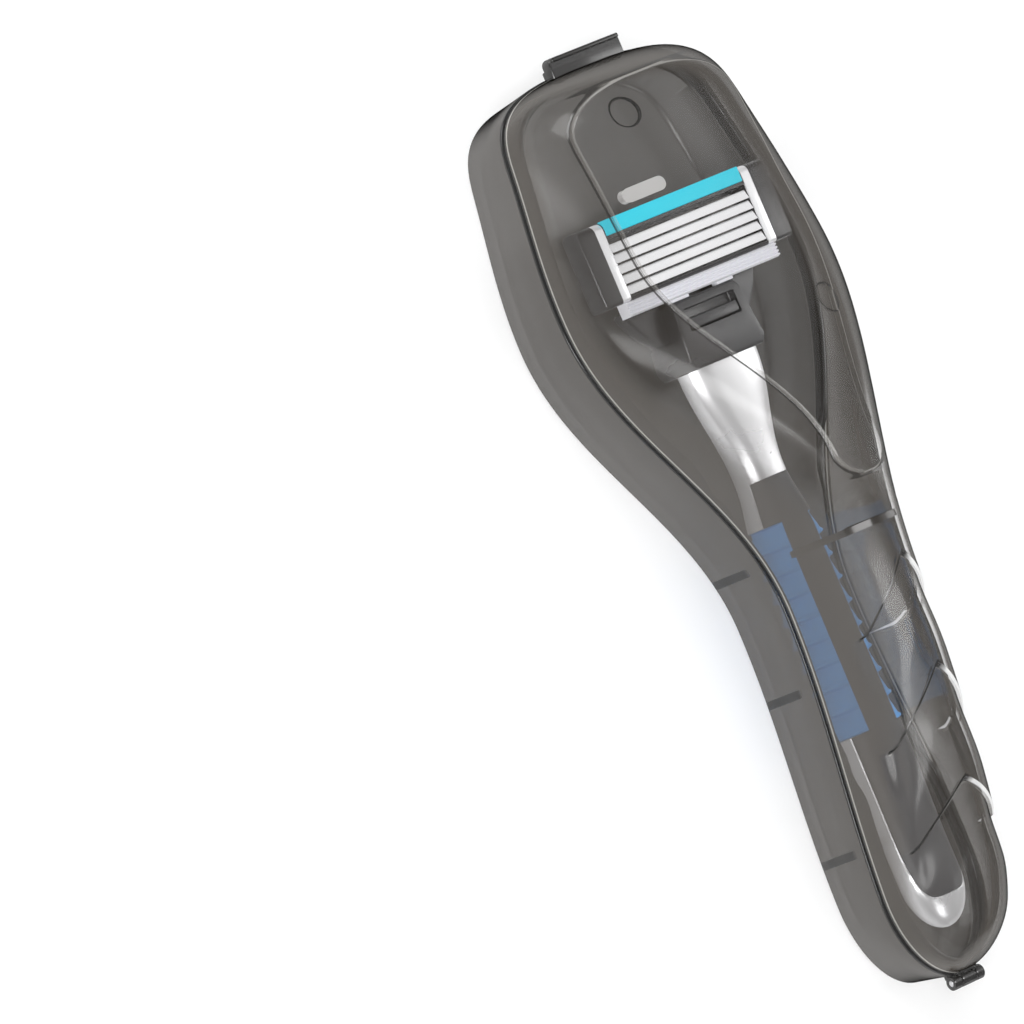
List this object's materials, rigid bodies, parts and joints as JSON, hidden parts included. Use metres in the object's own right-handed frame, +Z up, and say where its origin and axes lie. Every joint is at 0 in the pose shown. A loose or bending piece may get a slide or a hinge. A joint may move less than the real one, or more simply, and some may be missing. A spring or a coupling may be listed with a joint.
{
  "type": "razor travel case",
  "caption": "See-through hard travel case with a hinged, stepped lid, holding a cartridge razor with a pivoting head, rubber grips and a release button.",
  "frame": {"origin": "on the flat underside of the case base, midway along the case and on its centre line", "axes": "+X across the case to the right, +Y along the case towards its wide head, +Z up through the lid"},
  "size_m": [0.0594, 0.1772, 0.0418],
  "materials": {
    "smoke_plastic": "smoke grey, see-through, slightly frosted",
    "pin_steel": "drawn wire",
    "handle_metal": "satin plated",
    "inlay_plastic": "fine matte",
    "grip_rubber": "matte, ribbed",
    "black_plastic": "satin",
    "blade_steel": "ground",
    "strip_polymer": "waxy",
    "clip_metal": "bright",
    "guard_elastomer": "soft, finned"
  },
  "bodies": {
    "base": {"case_base": "smoke_plastic", "hinge_pin": "pin_steel", "handle_body": "handle_metal", "handle_inlay": "inlay_plastic", "left_grip": "grip_rubber", "right_grip": "grip_rubber", "neck_collar": "black_plastic", "plunger_spring": "pin_steel", "yoke": "black_plastic"},
    "lid": {"case_lid": "smoke_plastic"},
    "cartridge": {"cartridge_frame": "black_plastic", "lubricating_strip": "strip_polymer", "blade_1": "blade_steel", "blade_2": "blade_steel", "blade_3": "blade_steel", "blade_4": "blade_steel", "blade_5": "blade_steel", "left_clip": "clip_metal", "right_clip": "clip_metal", "finned_guard": "guard_elastomer"},
    "plunger": {"return_plunger": "handle_metal"},
    "button": {"release_button": "black_plastic"}
  },
  "joints": [
    {"name": "lid_hinge", "type": "hinge", "parent": "base", "child": "lid", "pos_m": [0, -0.0869, 0.01215], "axis": [1, 0, 0], "range_deg": [0, 140]},
    {"name": "cartridge_pivot", "type": "hinge", "parent": "base", "child": "cartridge", "pos_m": [0, 0.0457, 0.0135], "axis": [-1, 0, 0], "range_deg": [0, 35], "stiffness_Nm_per_rad": 0.02, "springref_deg": -8.59},
    {"name": "plunger_slide", "type": "slide", "parent": "base", "child": "plunger", "axis": [0, -1, 0], "range_m": [0, 0.0016], "deforming": ["plunger_spring"]},
    {"name": "button_slide", "type": "slide", "parent": "base", "child": "button", "axis": [0, 1, 0], "range_m": [0, 0.0015], "stiffness_N_per_m": 150, "springref_m": -0.001}
  ],
  "couplings": [
    {"joint": "plunger_slide", "follows": "cartridge_pivot", "m_per_rad": 0.0025}
  ]
}
